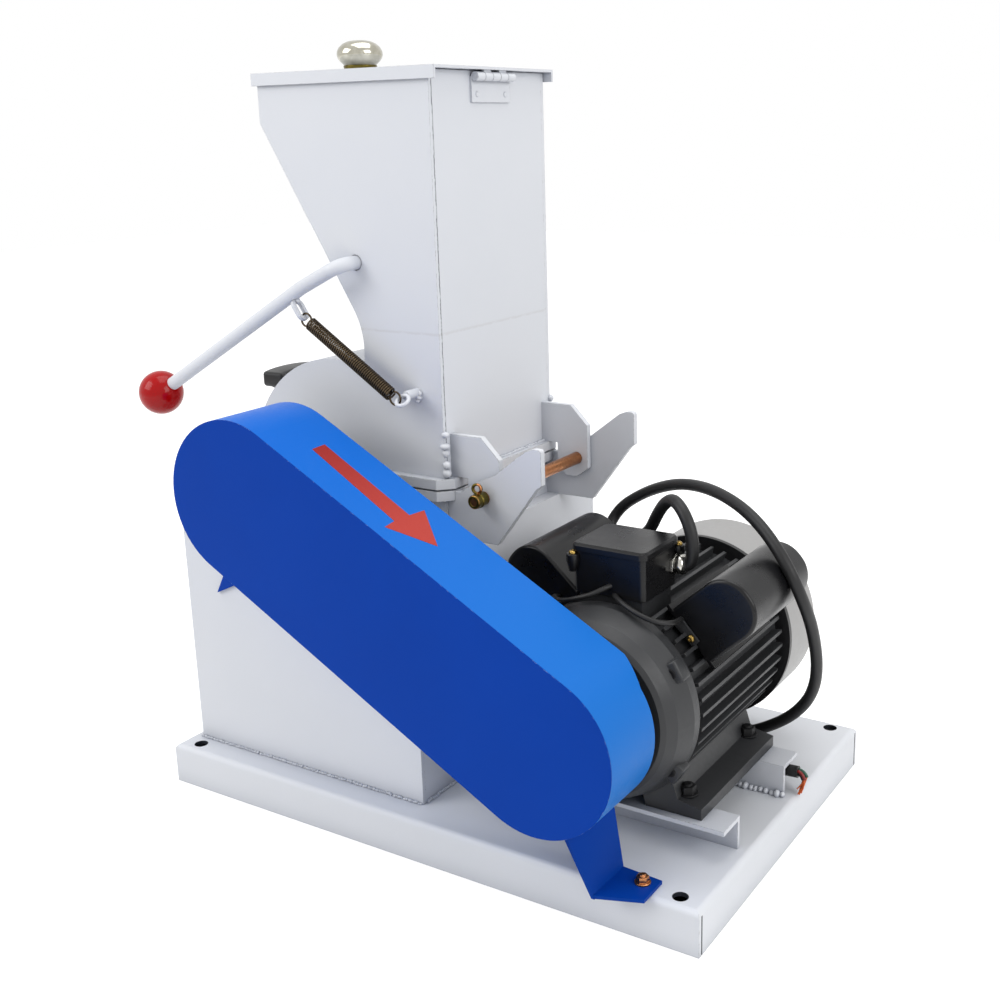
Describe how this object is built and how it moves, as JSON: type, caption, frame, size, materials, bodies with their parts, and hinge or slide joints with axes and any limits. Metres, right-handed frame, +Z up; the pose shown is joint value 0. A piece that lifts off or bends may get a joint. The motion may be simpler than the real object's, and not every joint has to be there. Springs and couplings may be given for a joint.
{
  "type": "hammer crusher",
  "caption": "Belt-driven hammer crusher with hopper, gate lever, tipping chamber, belt guard and motor on a folded base plate.",
  "frame": {"origin": "middle of the base plate's underside, in the plane that it stands on", "axes": "+X along the base plate from the crusher to the motor, +Y away from the belt guard, +Z up"},
  "size_m": [0.6729, 0.409, 0.7146],
  "materials": {
    "white_enamel": "semi-gloss white enamel with a lavender cast",
    "blue_paint": "gloss blue enamel",
    "red_ball": "polished red phenolic plastic",
    "motor_paint": "dark grey enamel on cast aluminium",
    "black_plastic": "moulded black plastic",
    "cowl_paint": "silver-grey paint on pressed sheet",
    "handle_plastic": "moulded black plastic",
    "cable_rubber": "black rubber sheath",
    "core_copper": "stripped insulated copper cores",
    "gland_metal": "plated metal",
    "rod_copper": "worn copper-coloured steel rod",
    "spring_steel": "dark oiled spring steel",
    "knob_chrome": "polished nickel plating",
    "cast_iron": "machined grey cast iron",
    "machined_steel": "turned steel",
    "belt_rubber": "black belt rubber"
  },
  "bodies": {
    "fixed_machine": {"base_plate": "white_enamel", "stand_near_wall": "white_enamel", "stand_far_wall": "white_enamel", "stand_motor_wall": "white_enamel", "stand_outer_wall": "white_enamel", "stand_top": "white_enamel", "discharge_chute": "white_enamel", "lower_near_plate": "white_enamel", "lower_far_plate": "white_enamel", "lower_outer_wall": "white_enamel", "lower_motor_wall": "white_enamel", "lower_flange": "white_enamel", "screen_grate": "machined_steel", "rotor": "machined_steel", "rotor_hammers": "machined_steel", "bearing_near": "cast_iron", "bearing_far": "cast_iron", "crusher_pulley": "cast_iron", "motor_pulley": "cast_iron", "drive_belts": "belt_rubber", "belt_guard": "blue_paint", "guard_foot": "blue_paint", "motor_body": "motor_paint", "motor_front_shield": "motor_paint", "motor_fan_cowl": "cowl_paint", "motor_shaft": "machined_steel", "capacitor_cover_right": "black_plastic", "capacitor_cover_left": "black_plastic", "terminal_box": "black_plastic", "cable_gland": "gland_metal", "rail_near": "white_enamel", "rail_far": "white_enamel", "power_cable": "cable_rubber", "cable_cores": "core_copper", "hinge_ear_near": "white_enamel", "hinge_ear_far": "white_enamel", "hinge_rod": "rod_copper"},
    "upper_housing": {"upper_flange": "white_enamel", "upper_near_plate": "white_enamel", "upper_far_plate": "white_enamel", "hopper_front_wall": "white_enamel", "hopper_back_wall": "white_enamel", "chamber_cover": "white_enamel", "tilt_ear_near": "white_enamel", "tilt_ear_far": "white_enamel", "pull_handle": "handle_plastic", "spring_lug": "white_enamel", "lid_hinge_leaf": "white_enamel", "gate_spring": "spring_steel"},
    "gate": {"gate_lever": "white_enamel", "lever_ball": "red_ball", "gate_flap": "machined_steel"},
    "lid": {"hopper_lid": "white_enamel", "lid_knob": "knob_chrome"}
  },
  "joints": [
    {"name": "housing_tilt", "type": "hinge", "parent": "fixed_machine", "child": "upper_housing", "pos_m": [0.027, 0.008, 0.313], "axis": [0, 1, 0], "range_deg": [0, 74]},
    {"name": "gate_lever_pivot", "type": "hinge", "parent": "upper_housing", "child": "gate", "pos_m": [-0.1035, 0.008, 0.517], "axis": [0, 1, 0], "range_deg": [0, 35], "stiffness_Nm_per_rad": 2, "springref_deg": -29.79, "deforming": ["gate_spring"]},
    {"name": "lid_hinge", "type": "hinge", "parent": "upper_housing", "child": "lid", "pos_m": [-0.0075, 0.008, 0.676], "axis": [0, 1, 0], "range_deg": [0, 150]}
  ]
}
